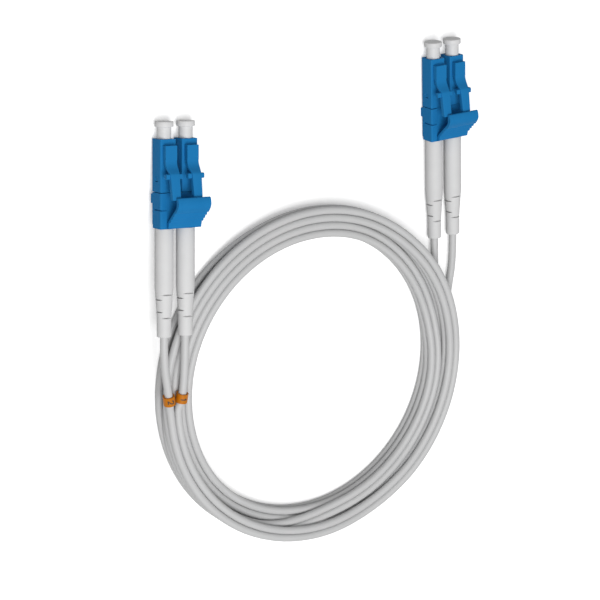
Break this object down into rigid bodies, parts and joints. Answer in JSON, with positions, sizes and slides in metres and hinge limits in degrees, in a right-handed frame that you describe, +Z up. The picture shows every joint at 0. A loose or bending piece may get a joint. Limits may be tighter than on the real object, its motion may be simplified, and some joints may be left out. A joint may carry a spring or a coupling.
{
  "type": "duplex lc fibre patch lead",
  "caption": "Coiled two-core fibre patch lead with a latched duplex LC plug, long boots and dust caps at each end, and numbered marker rings.",
  "frame": {"origin": "on the surface the lead lies on, under the middle of the two connectors' bounding box", "axes": "+Z up from the surface, towards the latch side of the plugs; +Y the way the plugs point; +X from the left connector to the right one"},
  "size_m": [0.1, 0.1333, 0.0128],
  "materials": {
    "blue_plastic": "satin moulded",
    "zirconia": "polished",
    "nickel": "bright",
    "spring_steel": "bright",
    "grey_boot": "matt, slightly soft",
    "cap_plastic": "satin moulded",
    "cord_jacket": "matt",
    "orange_ring": "satin"
  },
  "bodies": {
    "lead": {"left_housing_2": "blue_plastic", "left_spring_2": "spring_steel", "left_rear_body_2": "blue_plastic", "left_crimp_sleeve_2": "nickel", "left_cord_end_2": "cord_jacket", "left_boot_2": "grey_boot", "left_housing_1": "blue_plastic", "left_spring_1": "spring_steel", "left_rear_body_1": "blue_plastic", "left_crimp_sleeve_1": "nickel", "left_cord_end_1": "cord_jacket", "left_boot_1": "grey_boot", "left_clip": "blue_plastic", "right_housing_2": "blue_plastic", "right_spring_2": "spring_steel", "right_rear_body_2": "blue_plastic", "right_crimp_sleeve_2": "nickel", "right_cord_end_2": "cord_jacket", "right_boot_2": "grey_boot", "right_housing_1": "blue_plastic", "right_spring_1": "spring_steel", "right_rear_body_1": "blue_plastic", "right_crimp_sleeve_1": "nickel", "right_cord_end_1": "cord_jacket", "right_boot_1": "grey_boot", "right_clip": "blue_plastic", "left_tail_2": "cord_jacket", "left_tail_1": "cord_jacket", "right_tail_2": "cord_jacket", "right_tail_1": "cord_jacket", "cord_coil": "cord_jacket", "marker_ring_2": "orange_ring", "marker_ring_1": "orange_ring"},
    "left_trigger": {"left_trigger": "blue_plastic"},
    "left_latch_2": {"left_latch_arm_2": "blue_plastic"},
    "left_cap_2": {"left_dust_cap_2": "cap_plastic"},
    "left_ferrule_2": {"left_ferrule_2": "zirconia", "left_ferrule_flange_2": "nickel"},
    "left_latch_1": {"left_latch_arm_1": "blue_plastic"},
    "left_cap_1": {"left_dust_cap_1": "cap_plastic"},
    "left_ferrule_1": {"left_ferrule_1": "zirconia", "left_ferrule_flange_1": "nickel"},
    "right_trigger": {"right_trigger": "blue_plastic"},
    "right_latch_2": {"right_latch_arm_2": "blue_plastic"},
    "right_cap_2": {"right_dust_cap_2": "cap_plastic"},
    "right_ferrule_2": {"right_ferrule_2": "zirconia", "right_ferrule_flange_2": "nickel"},
    "right_latch_1": {"right_latch_arm_1": "blue_plastic"},
    "right_cap_1": {"right_dust_cap_1": "cap_plastic"},
    "right_ferrule_1": {"right_ferrule_1": "zirconia", "right_ferrule_flange_1": "nickel"}
  },
  "joints": [
    {"name": "left_trigger_press", "type": "hinge", "parent": "lead", "child": "left_trigger", "pos_m": [-0.04232, -0.00404, 0.00774], "axis": [0.9954, -0.0958, 0], "range_deg": [-17, 0], "stiffness_Nm_per_rad": 0.01},
    {"name": "left_latch_2_press", "type": "hinge", "parent": "lead", "child": "left_latch_2", "pos_m": [-0.04385, 0.01263, 0.00677], "axis": [0.9954, -0.0958, 0], "range_deg": [0, 13.6], "stiffness_Nm_per_rad": 0.005},
    {"name": "left_cap_2_pull", "type": "slide", "parent": "lead", "child": "left_cap_2", "axis": [0.0953, 0.9893, -0.1105], "range_m": [0, 0.006]},
    {"name": "left_ferrule_2_float", "type": "slide", "parent": "lead", "child": "left_ferrule_2", "axis": [0.0953, 0.9893, -0.1105], "range_m": [-0.001, 0], "stiffness_N_per_m": 50, "deforming": ["left_spring_2"]},
    {"name": "left_latch_1_press", "type": "hinge", "parent": "lead", "child": "left_latch_1", "pos_m": [-0.03763, 0.01203, 0.00677], "axis": [0.9954, -0.0958, 0], "range_deg": [0, 13.6], "stiffness_Nm_per_rad": 0.005},
    {"name": "left_cap_1_pull", "type": "slide", "parent": "lead", "child": "left_cap_1", "axis": [0.0953, 0.9893, -0.1105], "range_m": [0, 0.006]},
    {"name": "left_ferrule_1_float", "type": "slide", "parent": "lead", "child": "left_ferrule_1", "axis": [0.0953, 0.9893, -0.1105], "range_m": [-0.001, 0], "stiffness_N_per_m": 50, "deforming": ["left_spring_1"]},
    {"name": "right_trigger_press", "type": "hinge", "parent": "lead", "child": "right_trigger", "pos_m": [0.04342, 0.00674, 0.00513], "axis": [0.9996, 0.0279, 0], "range_deg": [-17, 0], "stiffness_Nm_per_rad": 0.01},
    {"name": "right_latch_2_press", "type": "hinge", "parent": "lead", "child": "right_latch_2", "pos_m": [0.03984, 0.02308, 0.00625], "axis": [0.9996, 0.0279, 0], "range_deg": [0, 13.6], "stiffness_Nm_per_rad": 0.005},
    {"name": "right_cap_2_pull", "type": "slide", "parent": "lead", "child": "right_cap_2", "axis": [-0.0279, 0.9995, 0.0167], "range_m": [0, 0.006]},
    {"name": "right_ferrule_2_float", "type": "slide", "parent": "lead", "child": "right_ferrule_2", "axis": [-0.0279, 0.9995, 0.0167], "range_m": [-0.001, 0], "stiffness_N_per_m": 50, "deforming": ["right_spring_2"]},
    {"name": "right_latch_1_press", "type": "hinge", "parent": "lead", "child": "right_latch_1", "pos_m": [0.04608, 0.02326, 0.00625], "axis": [0.9996, 0.0279, 0], "range_deg": [0, 13.6], "stiffness_Nm_per_rad": 0.005},
    {"name": "right_cap_1_pull", "type": "slide", "parent": "lead", "child": "right_cap_1", "axis": [-0.0279, 0.9995, 0.0167], "range_m": [0, 0.006]},
    {"name": "right_ferrule_1_float", "type": "slide", "parent": "lead", "child": "right_ferrule_1", "axis": [-0.0279, 0.9995, 0.0167], "range_m": [-0.001, 0], "stiffness_N_per_m": 50, "deforming": ["right_spring_1"]}
  ],
  "couplings": [
    {"joint": "left_latch_2_press", "follows": "left_trigger_press", "ratio": -0.8},
    {"joint": "left_latch_1_press", "follows": "left_trigger_press", "ratio": -0.8},
    {"joint": "right_latch_2_press", "follows": "right_trigger_press", "ratio": -0.8},
    {"joint": "right_latch_1_press", "follows": "right_trigger_press", "ratio": -0.8}
  ]
}
